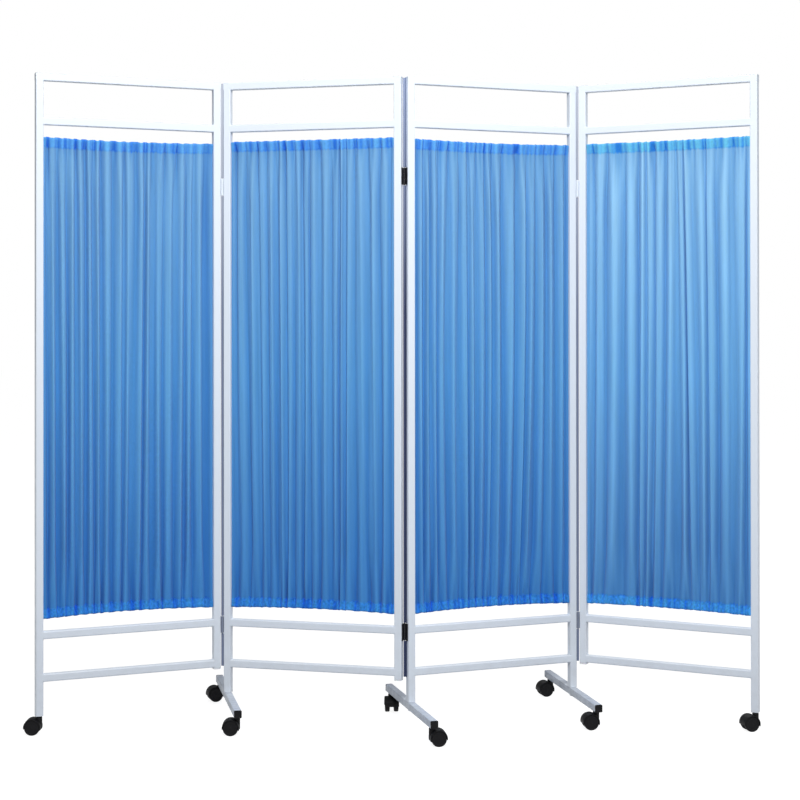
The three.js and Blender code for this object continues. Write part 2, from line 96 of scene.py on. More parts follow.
def panel_place(number):
    """Where a panel stands: it takes millimetres from the foot of the left post to the row frame's metres."""
    (first, *own_first), (last, *own_last) = panel_pins[number]
    own = [Vector(own_first), Vector(own_last)]
    world = [Vector(joints[name]["pos_m"][:2]) for name in (first, last)]
    across = own[1] - own[0]
    along = world[1] - world[0]
    heading = math.atan2(along.y, along.x) - math.atan2(across.y, across.x)
    turn = Matrix.Rotation(heading, 4, "Z")
    start = world[0].to_3d() - turn @ (own[0].to_3d() * 0.001)
    return Matrix.Translation(start) @ turn @ MILLIMETRES


def linear(code):
    """A colour written as sRGB hex, as the linear RGBA that a shader takes."""
    shares = [int(code[at:at + 2], 16) / 255 for at in (1, 3, 5)]
    return (*[s / 12.92 if s <= 0.04045 else ((s + 0.055) / 1.055) ** 2.4 for s in shares], 1.0)


def add_node(tree, kind, inputs=(), **settings):
    """A node with its settings. Its inputs, by name or in order, are set to values or linked to the sockets
    given, and one that takes several geometries has them in a list."""
    node = tree.nodes.new(kind)
    for name, value in settings.items():
        setattr(node, name, value)
    for key, value in inputs.items() if isinstance(inputs, dict) else enumerate(inputs):
        for each in value if isinstance(value, list) else [value]:
            if isinstance(each, bpy.types.NodeSocket):
                tree.links.new(each, node.inputs[key])
            else:
                node.inputs[key].default_value = each
    return node


def out(tree, kind, inputs=(), **settings):
    """The first output of a new node."""
    return add_node(tree, kind, inputs, **settings).outputs[0]


def new_material(name):
    """An empty material, and its tree."""
    material = bpy.data.materials.new(name)
    material.use_nodes = True
    material.node_tree.nodes.clear()
    return material, material.node_tree


def end_material(tree, properties):
    """Ends a material's tree in a surface of these properties."""
    surface = out(tree, "ShaderNodeBsdfPrincipled", properties)
    add_node(tree, "ShaderNodeOutputMaterial", {"Surface": surface})


def powder_coat(name, colour, low_colour, roughness, most_darkening=0.5):
    """Polyester powder coat on steel: sprayed dry and baked, so it is even, satin and slightly pebbled."""
    material, tree = new_material(name)
    place = add_node(tree, "ShaderNodeTexCoord").outputs["Object"]
    height = add_node(tree, "ShaderNodeSeparateXYZ", {0: place}).outputs["Z"]
    cloud = out(tree, "ShaderNodeTexNoise", {"Vector": place, "Scale": 45.0, "Detail": 4.0})
    # Darker towards the floor: from 40 cm down the coat is mixed, in clouds, into a greyer colour.
    low = out(tree, "ShaderNodeMapRange", (height, *DARKENED_HEIGHTS, 0.0, most_darkening))
    low_darkening = out(tree, "ShaderNodeMath", (low, cloud), operation="MULTIPLY")
    tones = {0: low_darkening, 6: linear(colour), 7: linear(low_colour)}
    gloss = (roughness - 0.05, roughness + 0.05)
    # The orange peel has 1.6 mm pebbles, about a hundredth of a millimetre high.
    peel = out(tree, "ShaderNodeTexNoise", {"Vector": place, "Scale": 620.0, "Detail": 1.0})
    corner = out(tree, "ShaderNodeBevel", {"Radius": 0.0009}, samples=4)
    pebbles = {"Strength": 0.25, "Distance": 0.00005, "Height": peel, "Normal": corner}
    end_material(tree, {
        "Base Color": add_node(tree, "ShaderNodeMix", tones, data_type="RGBA").outputs[2],
        "Roughness": out(tree, "ShaderNodeMapRange", (cloud, *NOISE_SPAN, *gloss)),
        "IOR": 1.5, "Normal": out(tree, "ShaderNodeBump", pebbles),
    })
    return material


def grained(name, colour, roughness, grain, relief, properties, scuffs=None, worn=None):
    """A plain material with a fine grain, given as a noise's scale and detail. Its roughness follows its
    scuffs, or else the grain, and from one level of them to another a worn colour comes in, up to a share."""
    material, tree = new_material(name)
    place = add_node(tree, "ShaderNodeTexCoord").outputs["Object"]
    clouds = [
        out(tree, "ShaderNodeTexNoise", {"Vector": place, "Scale": scale, "Detail": detail})
        for scale, detail in ((grain, scuffs) if scuffs else (grain,))
    ]
    fine, coarse = clouds[0], clouds[-1]
    tone = linear(colour)
    if worn:
        worn_colour, low, high, most = worn
        wear = out(tree, "ShaderNodeMapRange", (coarse, low, high, 0.0, most))
        tones = {0: wear, 6: tone, 7: linear(worn_colour)}
        tone = add_node(tree, "ShaderNodeMix", tones, data_type="RGBA").outputs[2]
    rough = out(tree, "ShaderNodeMapRange", (coarse, *NOISE_SPAN, *roughness))
    strength, distance = relief
    bump = out(tree, "ShaderNodeBump", {"Strength": strength, "Distance": distance, "Height": fine})
    end_material(tree, {"Base Color": tone, "Roughness": rough, "Normal": bump, **properties})
    return material


def dress(node, material):
    """A CAD node keeps its shape and takes this material."""
    mesh = frame["nodes"][node].data
    mesh.materials.clear()
    mesh.materials.append(material)


white_coat = powder_coat("white_powder_coat_on_steel", "#E7F0FB", "#C6CAD0", 0.38)
for number in range(1, 5):
    dress(f"panel_{number}_frame", white_coat)

# Weld beads: a small fillet of weld runs round each rail where it meets a post, ground flush with the tube's
# front and back faces and coated over with the frame. At the top rail it shows only in the inner corner.
RAIL_HEIGHTS = (147, 258, 1600)
TOP_BEAD_HEIGHT = 1714
INNER_FACES = (TUBE_HALF, POST_SPAN - TUBE_HALF)


def geometry_tree(name, *numbers):
    """A Geometry Nodes tree that takes a geometry, these numbers and a material, and its inputs by name."""
    tree = bpy.data.node_groups.new(name, "GeometryNodeTree")
    tree.interface.new_socket("Geometry", in_out="OUTPUT", socket_type="NodeSocketGeometry")
    for socket in ("Geometry", *numbers, "Material"):
        kind = "Float" if socket in numbers else socket
        tree.interface.new_socket(socket, in_out="INPUT", socket_type="NodeSocket" + kind)
    given = add_node(tree, "NodeGroupInput")
    return tree, {socket.name: socket for socket in given.outputs if socket.name}


def on_points(tree, given, instance, **scale):
    """An instance on each of a piece's bare points, turned by the point's own angles."""
    turn = out(tree, "GeometryNodeInputNamedAttribute", {"Name": "turn"}, data_type="FLOAT_VECTOR")
    rotation = out(tree, "FunctionNodeEulerToRotation", {0: turn})
    inputs = {"Points": given["Geometry"], "Instance": instance, "Rotation": rotation, **scale}
    return out(tree, "GeometryNodeInstanceOnPoints", inputs)


def end_tree(tree, given, geometry):
    """Makes the instances real, gives them their material and closes the tree."""
    real = out(tree, "GeometryNodeRealizeInstances", {0: geometry})
    smooth = out(tree, "GeometryNodeSetShadeSmooth", {"Geometry": real, "Shade Smooth": True})
    painted = out(tree, "GeometryNodeSetMaterial", {"Geometry": smooth, "Material": given["Material"]})
    add_node(tree, "NodeGroupOutput", {0: painted})


def evaluated_mesh(piece):
    """A new mesh of the piece as its modifiers leave it."""
    bpy.context.view_layer.update()
    return bpy.data.meshes.new_from_object(piece.evaluated_get(bpy.context.evaluated_depsgraph_get()))


def run_tree(piece, tree, values):
    """Runs the tree on a piece and leaves the result as its plain mesh."""
    modifier = piece.modifiers.new(tree.name, "NODES")
    modifier.node_group = tree
    for socket in tree.interface.items_tree:
        if socket.in_out == "INPUT" and socket.name in values:
            modifier[socket.identifier] = values[socket.name]
    mesh = evaluated_mesh(piece)
    piece.modifiers.remove(modifier)
    old = piece.data
    piece.data = mesh
    mesh.name = piece.name
    bpy.data.meshes.remove(old)


def new_mesh(name, points, edges, faces, place=Matrix()):
    """A mesh of these points, edges and faces, set in its place."""
    mesh = bpy.data.meshes.new(name)
    mesh.from_pydata(points, edges, faces)
    mesh.transform(place)
    return mesh


def point_piece(name, points, attributes):
    """A piece of bare points, in metres, with vector attributes that a tree reads."""
    mesh = new_mesh(name, [tuple(point) for point in points], [], [])
    for attribute, values in attributes.items():
        data = mesh.attributes.new(attribute, "FLOAT_VECTOR", "POINT").data
        data.foreach_set("vector", np.array(values, dtype=np.float32).ravel())
    return new_piece(name, mesh)


def rounded_box(tree, width, height, corner, steps):
    """A rectangular path with rounded corners."""
    box = out(tree, "GeometryNodeCurvePrimitiveQuadrilateral", {"Width": width, "Height": height})
    inputs = {"Curve": box, "Radius": corner, "Count": steps}
    return out(tree, "GeometryNodeFilletCurve", inputs, mode="POLY")


weld_tree, weld = geometry_tree("weld_beads", "Height", "Depth", "Corner", "Bead Radius")
bead_path = rounded_box(weld_tree, weld["Height"], weld["Depth"], weld["Corner"], 3)
section = out(weld_tree, "GeometryNodeCurvePrimitiveCircle", {"Resolution": 8, "Radius": weld["Bead Radius"]})
ring = out(weld_tree, "GeometryNodeCurveToMesh", {"Curve": bead_path, "Profile Curve": section})
ring_size = out(weld_tree, "GeometryNodeInputNamedAttribute", {"Name": "size"}, data_type="FLOAT_VECTOR")
end_tree(weld_tree, weld, on_points(weld_tree, weld, ring, Scale=ring_size))

for number in range(1, 5):
    place = panel_place(number)
    spots = [(x, 0, z) for x in INNER_FACES for z in (*RAIL_HEIGHTS, TOP_BEAD_HEIGHT)]
    beads = point_piece(f"panel_{number}_weld_beads", [place @ Vector(spot) for spot in spots], {
        "turn": [(0.0, math.radians(90), place.to_euler().z)] * len(spots),
        "size": [(0.9 if z == TOP_BEAD_HEIGHT else 1.0, 1.0, 1.0) for _, _, z in spots],
    })
    run_tree(beads, weld_tree, {
        "Height": 0.020, "Depth": 0.0178, "Corner": 0.0022, "Bead Radius": 0.0013, "Material": white_coat,
    })
    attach(beads, f"panel_{number}")

# Curtain wires: zinc plated spring wire stretched between the posts, in the curtain's sleeves. Only its last
# few millimetres show beside the cloth, as a dull grey metal with fine lines from drawing.
zinc_wire = grained(
    "zinc_plated_drawn_wire", "#C3C8CE", roughness=(0.3, 0.45), grain=(900.0, 2.0), relief=(0.2, 0.00003),
    properties={"Metallic": 1.0},
)
for number in range(1, 5):
    for end in ("top", "bottom"):
        dress(f"panel_{number}_{end}_wire", zinc_wire)

# Curtains: thin plain-weave polycotton, dyed hospital blue. The cloth is turned to the back over each wire
# and sewn across 25 mm from the turn, so that a gathered double band shows at the top and the bottom. Sharp
# tucks cross the bands and run out beyond them into some seventeen broad, uneven folds. Lengths are in
# millimetres, and rows of four go from the first curtain to the fourth.
FOLD_COUNTS = (17, 17, 17, 14)
COLUMNS_PER_FOLD = 24
FOLD_DEPTHS = (6.6, 5.2, 6.6, 7.8)
FOLD_WIDTHS = ((0.62, 1.42),) * 3 + ((0.45, 1.65),)
DEEPEST_FOLD = 10.5
FOLD_PINCHES = (((-0.25, 0.15), (-0.45, 0.1), (-0.1, 0.35)),) * 3 + (((-0.2, 0.3), (0.0, 0.5), (0.3, 0.7)),)
FOLD_DRIFTS = (0.26, 0.26, 0.26, 0.42)
FOLD_SHADES = ((0.103, 0.056),) * 3 + ((0.06, 0.062),)
FOLD_UNEVENNESS = (0.45, 1.4)
FOLD_LEAN = 0.14
GATHERS = (0.5, 1.5)
GATHER_DEPTH = 4.4
TUCK_COUNT = 46
TUCK_SPACINGS = (0.45, 1.6)
TUCKED_SHARE = 0.985
TUCK_WIDTHS = (2.4, 4.8)
TUCK_DEPTHS = (2.0, 6.0)
TUCK_RUNS = (25, 90)
LONG_TUCK_RUNS = (150, 450)
LONG_TUCK_SHARE = 0.25
LONG_TUCK_DEPTH = 0.5
BLOOM_REACH = 170
RIM_REACH = 10
RIM_PLAY = 0.12
TURNED_EDGE = 4
TOP_WIRES = (1555.5, 1560.5, 1557.5, 1560.0)
TOP_BOWS = (-4.2, -0.4, -3.8, -1.8)
BOTTOM_WIRE = 302.5
BOTTOM_BOWS = (6.4, 5.2, 6.6, 4.0)
SLEEVE_EDGE = 3
SLEEVE_HEIGHT = 25
SLEEVE_STEPS = 6
BODY_ROWS = 48
CLOTH_SIDES = (10.45, 469.55)
CLOTH_THICKNESS = 0.35
WRAP_RADIUS = 2.1
BODY_LENGTH = 1.240
TURNED_IN = TURNED_EDGE * 0.001
# Painted light and shade of the folds: ridges are painted paler, and valleys and tucks darker.
PAINTED_RIDGE_LIGHT = (1.22, 1.12, 1.0, 1.0)
PAINTED_VALLEY_SHADE = (0.59, 0.76, 0.86, 1.0)
# The fourth curtain's brighter painted copy has its own, paler painted valley shade.
PAINTED_VALLEY_SHADE_BRIGHT_COPY = (0.60, 0.73, 0.81, 1.0)
PAINTED_TUCK_SHADE = (0.18, 0.42, 0.88, 1.0)
THREADS = 4800.0
SHINE_THROUGH = 0.24


def smoothed(values, reach):
    """Values run together over the columns near each one."""
    kernel = np.hanning(2 * reach + 3)[1:-1]
    padded = np.pad(values, reach, mode="edge")
    return np.convolve(padded, kernel / kernel.sum(), "valid")


def eased(values):
    """0 to 1 with soft ends."""
    share = np.clip(values, 0, 1)
    return share * share * (3 - 2 * share)


def cloth_path(number):
    """Rows of the cloth along its length, each with its height, its side of the wire, how far it is over the
    wire and how far into the sleeve, and the heights of the two seams."""
    rows = []
    top_wire = TOP_WIRES[number - 1]
    low_seam = BOTTOM_WIRE - SLEEVE_EDGE + SLEEVE_HEIGHT
    high_seam = top_wire + SLEEVE_EDGE - SLEEVE_HEIGHT
    for seam, wire, way in ((low_seam, BOTTOM_WIRE, -1), (high_seam, top_wire, 1)):
        height = abs(wire - seam)
        sleeve = [(seam - way * TURNED_EDGE, 1.0, 0.0, 0.0)]
        shares = [step / SLEEVE_STEPS for step in range(SLEEVE_STEPS + 1)]
        sleeve += [(seam + way * height * share, 1.0, 0.0, share) for share in shares[:-1]]
        turns = [math.pi * share for share in shares]
        sleeve += [(wire, math.cos(turn), way * math.sin(turn), 1.0) for turn in turns]
        sleeve += [(seam + way * height * share, -1.0, 0.0, share) for share in shares[-2:0:-1]]
        rows.append(sleeve)
    near = [0, 3, 7, 12, 18, 25, 33, 42, 52, 64, 78]
    low = [low_seam + step for step in near]
    high = [high_seam - step for step in near]
    middle = np.linspace(low[-1], high[-1], BODY_ROWS)[1:-1]
    body = [(z, -1.0, 0.0, 0.0) for z in [*low, *middle, *reversed(high)]]
    return rows[0] + body + rows[1][::-1], low_seam, high_seam


def curtain_grid(number):
    """Points of one curtain in its panel, in millimetres, as rows of columns, the length of cloth up to each
    row, and the painted shade of each point, from 0 on a lit ridge to 1 in a shaded valley."""
    random = np.random.default_rng(740 + number)
    fold_count = FOLD_COUNTS[number - 1]
    columns = fold_count * COLUMNS_PER_FOLD
    fold = np.arange(columns + 1) / COLUMNS_PER_FOLD
    theta = 2 * math.pi * fold

    def spread(low, high, reach):
        """A number for each fold, run together where folds meet."""
        each = np.repeat(random.uniform(low, high, fold_count + 1), COLUMNS_PER_FOLD)[:columns + 1]
        return smoothed(each, reach)

    def shares(widths):
        along = np.concatenate([[0], np.cumsum(widths[:-1])])
        return along / along[-1]

    # Folds: their widths, depths, pinch and lean, each at the bottom, in the middle and at the top.
    left, right = CLOTH_SIDES
    width = right - left
    widths = spread(*FOLD_WIDTHS[number - 1], 9)
    drift = FOLD_DRIFTS[number - 1]
    across = [shares(widths * spread(1 - drift, 1 + drift, 12)) for _ in range(3)]
    depths = [FOLD_DEPTHS[number - 1] * spread(*FOLD_UNEVENNESS, 9) for _ in range(3)]
    pinches = [spread(low, high, 9) for low, high in FOLD_PINCHES[number - 1]]
    leans = [spread(-FOLD_LEAN, FOLD_LEAN, 9) for _ in range(3)]
    gather = spread(*GATHERS, 6)
    # Tucks: shorter and finer than the folds, and most of them end within a hand's width of the band.
    spots = np.cumsum(random.uniform(*TUCK_SPACINGS, TUCK_COUNT + 1))[:-1]
    spots *= fold_count / spots[-1] * TUCKED_SHARE
    tuck_widths = random.uniform(*TUCK_WIDTHS, TUCK_COUNT) / (width / fold_count)
    near_spots = np.exp(-((fold[:, None] - spots) / tuck_widths) ** 2)
    each_tuck = (2, TUCK_COUNT)
    tuck_depths = random.uniform(*TUCK_DEPTHS, each_tuck)
    long_ones = random.random(each_tuck) < LONG_TUCK_SHARE
    tuck_depths[long_ones] *= LONG_TUCK_DEPTH
    long_runs = random.uniform(*LONG_TUCK_RUNS, each_tuck)
    runs = np.where(long_ones, long_runs, random.uniform(*TUCK_RUNS, each_tuck))
    swells = random.uniform(0, 2 * math.pi, 4)
    rows, lengths, fold_shade_values = [], [], []
    travelled = 0.0
    last = None
    path, low_seam, high_seam = cloth_path(number)
    for z, side, over, into in path:
        t = np.clip((z - low_seam) / (high_seam - low_seam), 0, 1)
        weights = ((1 - t) ** 2, 2 * t * (1 - t), t * t)
        threes = (across, depths, leans, pinches)
        share, depth, lean, pinch = (sum(w * v for w, v in zip(weights, three)) for three in threes)
        off_seams = (max(0.0, z - low_seam), max(0.0, high_seam - z))
        bloom = eased(min(off_seams) / BLOOM_REACH)
        rim = RIM_PLAY + (1 - RIM_PLAY) * eased(np.minimum(share, 1 - share) * width / RIM_REACH)
        tuck = sum(
            near_spots @ (tuck_depths[end] * np.exp(-((off_seams[end] / runs[end]) ** 1.3))) for end in (0, 1)
        )
        swell = 1.6 * np.sin(9 * share + swells[0] + 1.5 * t)
        swell += 1.1 * np.sin(23 * share + swells[1] - 2.2 * t)
        ripple = 0.8 * np.sin(2.4 * theta + swells[2] + 3 * t)
        ripple += 0.7 * np.sin(1.63 * theta + swells[3] - 4 * t)
        amplitude = np.minimum(GATHER_DEPTH * gather * (1 - bloom) + depth * bloom, DEEPEST_FOLD)
        wave = -np.cos(theta)
        body = (amplitude * wave + tuck + (swell + ripple) * bloom) * rim
        squeeze = pinch + (0.4 - pinch) * (1 - bloom)
        fold_width = np.gradient(share) * width * COLUMNS_PER_FOLD
        shift = squeeze * np.sin(theta) / (2 * math.pi) + lean * bloom * (1 - np.cos(theta)) / 2
        x = np.clip(left + share * width + fold_width * shift * rim, left, right)
        pucker = (2.4 * gather * wave + 0.8 * tuck) * rim
        towards, away = (2.4, 4.2) if side < 0 else (4.2, 2.4)
        wrap = side * (WRAP_RADIUS + 2.0) + np.clip(pucker, -away, towards)
        apart = 0.35 * side if z > high_seam - 2 * TURNED_EDGE or z < low_seam + 2 * TURNED_EDGE else 0.0
        y = (1 - into) * (body + apart) + into * wrap
        drop = t * TOP_BOWS[number - 1] + (1 - t) * BOTTOM_BOWS[number - 1]
        lift = over * (WRAP_RADIUS + np.clip(1.1 + 0.5 * pucker, 0, 2.7))
        sag = 1.1 * gather * wave * (1 - into) * (1 - bloom) * rim
        rows.append(np.stack([x, y, z + drop * 4 * share * (1 - share) + lift + sag], axis=1))
        in_band = into > 0 or z > high_seam or z < low_seam
        # Painted fold shade: a value for each point that darkens the cloth's colour in valleys and tucks and
        # lightens it on ridges.
        low_shade, high_shade = FOLD_SHADES[number - 1]
        fold_shade = low_shade + (high_shade - low_shade) * t
        shade = 0.5 + fold_shade * (amplitude * wave + 1.6 * ripple)
        if in_band:
            shade = 0.24 + 0.12 * gather * wave
        fold_shade_values.append(np.clip(shade + 0.13 * tuck * rim, 0, 1))
        if last is not None:
            travelled += float(np.linalg.norm(rows[-1] - last, axis=1).mean())
        last = rows[-1]
        lengths.append(travelled)
    return np.array(rows), np.array(lengths), np.array(fold_shade_values)


cloth_rows, *seams = cloth_path(1)
seam_rows = [index for index, row in enumerate(cloth_rows) if row[0] in seams and row[1] < 0]


def grid_piece(name, grid, lengths, fold_shade_values, place):
    """A piece of cloth from a grid of points, with a UV map in metres, across it and along it, and with the
    painted shade of each point between ridge and valley. Its flat width and length come with it."""
    row_count, column_count = grid.shape[:2]
    at = np.arange(row_count * column_count).reshape(row_count, column_count)
    quads = np.stack([at[:-1, :-1], at[:-1, 1:], at[1:, 1:], at[1:, :-1]], axis=-1).reshape(-1, 4)
    mesh = new_mesh(name, grid.reshape(-1, 3).tolist(), [], quads.tolist(), place)
    steps = np.linalg.norm(np.diff(grid, axis=1), axis=2).mean(axis=0)
    across = np.concatenate([[0], np.cumsum(steps)]) * 0.001
    low_seam, high_seam = lengths[seam_rows]
    along = (lengths - low_seam) / (high_seam - low_seam) * BODY_LENGTH
    flat = np.stack([np.tile(across, row_count), np.repeat(along, column_count)], axis=1)
    corners = np.empty(len(mesh.loops), dtype=np.int32)
    mesh.loops.foreach_get("vertex_index", corners)
    mesh.uv_layers.new(name="cloth").data.foreach_set("uv", flat[corners].astype(np.float32).ravel())
    attribute = mesh.attributes.new("valley", "FLOAT", "POINT")
    attribute.data.foreach_set("value", fold_shade_values.astype(np.float32).ravel())
    mesh.shade_smooth()
    piece = new_piece(name, mesh)
    wall = piece.modifiers.new("cloth_thickness", "SOLIDIFY")
    wall.thickness = CLOTH_THICKNESS * 0.001
    wall.offset = 0
    return piece, float(across[-1]), float((lengths[-1] - lengths[0]) * 0.001)


curtains = {}
for number in range(1, 5):
    grid, lengths, fold_shade_values = curtain_grid(number)
    name = f"panel_{number}_curtain_cloth"
    piece, cut_width, cut_length = grid_piece(name, grid, lengths, fold_shade_values, panel_place(number))
    curtains[number] = (piece, grid, cut_width, cut_length)
CUT_WIDTH = sum(entry[2] for entry in curtains.values()) / 4


def polycotton(name, shades, top_band, bottom_band, hem_shade, valley_painted_shade):
    """Dyed yarn, plain woven and not pressed: it is matt, light comes through its thin single layer, and it
    is deeper where it lies double, in the sleeves and in the side hems."""
    cloth, tree = new_material(name)
    flat_place = out(tree, "ShaderNodeUVMap", uv_map="cloth")
    across, along, _ = add_node(tree, "ShaderNodeSeparateXYZ", {0: flat_place}).outputs
    # Painted light: the blue runs from deeper at the bottom to paler at the top, as the light falls off
    # downward.
    height = out(tree, "ShaderNodeMapRange", (along, 0.0, BODY_LENGTH))
    dye_and_painted_light_fall = add_node(tree, "ShaderNodeValToRGB", {0: height})
    dye_and_painted_light_fall.color_ramp.elements[0].color = linear(shades[0])
    dye_and_painted_light_fall.color_ramp.elements[1].color = linear(shades[2])
    dye_and_painted_light_fall.color_ramp.elements.new(0.5).color = linear(shades[1])
    shade = dye_and_painted_light_fall.outputs[0]
    streak_place = out(tree, "ShaderNodeMapping", {"Vector": flat_place, "Scale": (130.0, 4.0, 1.0)})
    streaks = out(tree, "ShaderNodeTexNoise", {"Vector": streak_place, "Scale": 1.0, "Detail": 3.0})
    # Painted shade: the colour follows the fine creases of the bump below, a few percent darker in them.
    painted_crease_shade = out(tree, "ShaderNodeMapRange", (streaks, *NOISE_SPAN, 0.95, 1.05))
    # The turned-in edge of each sleeve shows through beside its seam, so a band ends unevenly.
    raggedness = out(tree, "ShaderNodeMapRange", (streaks, 0.25, 0.75, -TURNED_IN, TURNED_IN))
    edge = out(tree, "ShaderNodeMath", (along, raggedness), operation="ADD")
    above = out(tree, "ShaderNodeMapRange", (edge, BODY_LENGTH - TURNED_IN, BODY_LENGTH + TURNED_IN / 2))
    below = out(tree, "ShaderNodeMapRange", (edge, TURNED_IN, -TURNED_IN / 2))
    off_middle = out(tree, "ShaderNodeMath", (across, CUT_WIDTH / 2), operation="SUBTRACT")
    from_middle = out(tree, "ShaderNodeMath", (off_middle,), operation="ABSOLUTE")
    hem_edges = (CUT_WIDTH / 2 - 0.008, CUT_WIDTH / 2 - 0.006)
    hem = out(tree, "ShaderNodeMapRange", (from_middle, *hem_edges, 0.0, 0.4))
    for share, double_shade in ((above, top_band), (below, bottom_band), (hem, hem_shade)):
        tones = {0: share, 6: shade, 7: linear(double_shade)}
        shade = add_node(tree, "ShaderNodeMix", tones, data_type="RGBA").outputs[2]
    # Painted shade and light of the folds: each valley is painted a deeper, darker blue and each ridge a
    # paler one, and the tucks of the double bands are painted darker still.
    valley = add_node(tree, "ShaderNodeAttribute", attribute_name="valley").outputs["Fac"]
    banded = out(tree, "ShaderNodeMath", (above, below), operation="MAXIMUM")
    tones = {0: banded, 6: valley_painted_shade, 7: PAINTED_TUCK_SHADE}
    deepest_painted_shade = add_node(tree, "ShaderNodeMix", tones, data_type="RGBA").outputs[2]
    tones = {0: valley, 6: PAINTED_RIDGE_LIGHT, 7: deepest_painted_shade}
    tint = add_node(tree, "ShaderNodeMix", tones, data_type="RGBA").outputs[2]
    # Painted light and shade of crumpling: light and dark flecks over the tucks of the bands, most at the
    # bottom, and over the whole cloth a slight painted shade that follows the fine creases.
    crumple_shade_share = out(tree, "ShaderNodeMath", (above, 0.3, below), operation="MULTIPLY_ADD")
    fleck_place = out(tree, "ShaderNodeMapping", {"Vector": flat_place, "Scale": (170.0, 120.0, 1.0)})
    flecks = out(tree, "ShaderNodeTexNoise", {"Vector": fleck_place, "Scale": 1.0, "Detail": 2.0})
    painted_crumple_light = out(tree, "ShaderNodeMapRange", (flecks, *NOISE_SPAN, -0.24, 0.18))
    painted_crumple_and_crease_shade = out(tree, "ShaderNodeMath", (crumple_shade_share, painted_crumple_light, painted_crease_shade), operation="MULTIPLY_ADD")
    for factor in (tint, painted_crumple_and_crease_shade):
        tones = {0: 1.0, 6: shade, 7: factor}
        shade = add_node(tree, "ShaderNodeMix", tones, data_type="RGBA", blend_type="MULTIPLY").outputs[2]
    # Warp and weft are 0.4 mm apart in the real cloth, and are drawn at 1.3 mm so that they show at all.
    waves = []
    for way in (across, along):
        phase = out(tree, "ShaderNodeMath", (way, THREADS), operation="MULTIPLY")
        waves.append(out(tree, "ShaderNodeMath", (phase,), operation="SINE"))
    woven = out(tree, "ShaderNodeMath", waves, operation="MULTIPLY")
    weave = out(tree, "ShaderNodeBump", {"Strength": 0.35, "Distance": 0.0001, "Height": woven})
    # Fine lengthwise creases, about 8 mm apart, are left from the gathering.
    creases = {"Strength": 0.5, "Distance": 0.0008, "Height": streaks, "Normal": weave}
    creases = out(tree, "ShaderNodeBump", creases)
    yarn = out(tree, "ShaderNodeBsdfPrincipled", {
        "Base Color": shade, "Roughness": 0.85, "IOR": 1.45, "Specular IOR Level": 0.2,
        "Sheen Weight": 0.15, "Sheen Roughness": 0.5, "Normal": creases,
    })
    glow = out(tree, "ShaderNodeBsdfTranslucent", {"Color": shade, "Normal": creases})
    both = out(tree, "ShaderNodeMixShader", {0: SHINE_THROUGH, 1: yarn, 2: glow})
    add_node(tree, "ShaderNodeOutputMaterial", {"Surface": both})
    return cloth


blue_cloth = polycotton(
    "plain_woven_polycotton_dyed_blue", ("#4E9AE3", "#6FB6EF", "#84BCEC"),
    "#6EC2FF", "#45A9F8", "#3F8BDC", PAINTED_VALLEY_SHADE,
)
# The fourth curtain takes a copy of the cloth painted paler and brighter than the other three: painted light.
brighter_lit_cloth_copy = polycotton(
    "plain_woven_polycotton_dyed_blue_painted_brighter", ("#61A7E8", "#84C8FB", "#9CD2FB"),
    "#79DCFF", "#50B9FF", "#4C9CE6", PAINTED_VALLEY_SHADE_BRIGHT_COPY,
)
for number, (piece, *_) in curtains.items():
    piece.data.materials.append(brighter_lit_cloth_copy if number == 4 else blue_cloth)
    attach(piece, f"panel_{number}")
    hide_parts(f"panel_{number}_curtain")

# Stitches: one lockstitched row closes each sleeve, in polyester thread of the cloth's colour. Each stitch is
# 2 mm long and 3 mm from the next, and it shows on the front and, past the second layer, on the back.
STITCH_LIFTS = ((1, 0.28), (-1, 0.98))
thread = grained(
    "spun_polyester_thread_blue", "#5AA2E8", roughness=(0.7, 0.7), grain=(2500.0, 1.0), relief=(0.4, 0.00005),
    properties={"IOR": 1.5, "Sheen Weight": 0.2},
)
stitch_tree, stitch = geometry_tree("stitches", "Pitch", "Length", "Thread Radius")
seam_line = out(stitch_tree, "GeometryNodeMeshToCurve", {0: stitch["Geometry"]})
spaced = out(
    stitch_tree, "GeometryNodeResampleCurve", {"Curve": seam_line, "Length": stitch["Pitch"]}, mode="LENGTH",
)
bead = out(stitch_tree, "GeometryNodeMeshUVSphere", {"Segments": 6, "Rings": 4, "Radius": 1.0})
half_length = out(stitch_tree, "ShaderNodeMath", (stitch["Length"], 0.5), operation="MULTIPLY")
bead_size = (half_length, stitch["Thread Radius"], stitch["Thread Radius"])
stretch = out(stitch_tree, "ShaderNodeCombineXYZ", bead_size)
tangent = out(stitch_tree, "GeometryNodeInputTangent")
aimed = out(stitch_tree, "FunctionNodeAlignRotationToVector", {"Vector": tangent}, axis="X")
stitches = out(
    stitch_tree, "GeometryNodeInstanceOnPoints",
    {"Points": spaced, "Instance": bead, "Rotation": aimed, "Scale": stretch},
)
end_tree(stitch_tree, stitch, stitches)

for number, (piece, grid, cut_width, cut_length) in curtains.items():
    lines = []
    for row in seam_rows:
        slope = np.gradient(grid[row, :, :2], axis=0)
        normal = np.stack([slope[:, 1], -slope[:, 0]], axis=1)
        normal /= np.linalg.norm(normal, axis=1)[:, None]
        for side, lift in STITCH_LIFTS:
            line = grid[row].copy()
            line[:, :2] += side * lift * normal
            lines.append(line[3:-3])
    points = np.concatenate(lines)
    count = len(lines[0])
    starts = range(0, len(points), count)
    edges = [(start + at, start + at + 1) for start in starts for at in range(count - 1)]
    name = f"panel_{number}_stitches"
    row_of_stitches = new_piece(name, new_mesh(name, points.tolist(), edges, [], panel_place(number)))
    run_tree(row_of_stitches, stitch_tree, {
        "Pitch": 0.003, "Length": 0.0022, "Thread Radius": 0.00022, "Material": thread,
    })
    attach(row_of_stitches, f"panel_{number}")

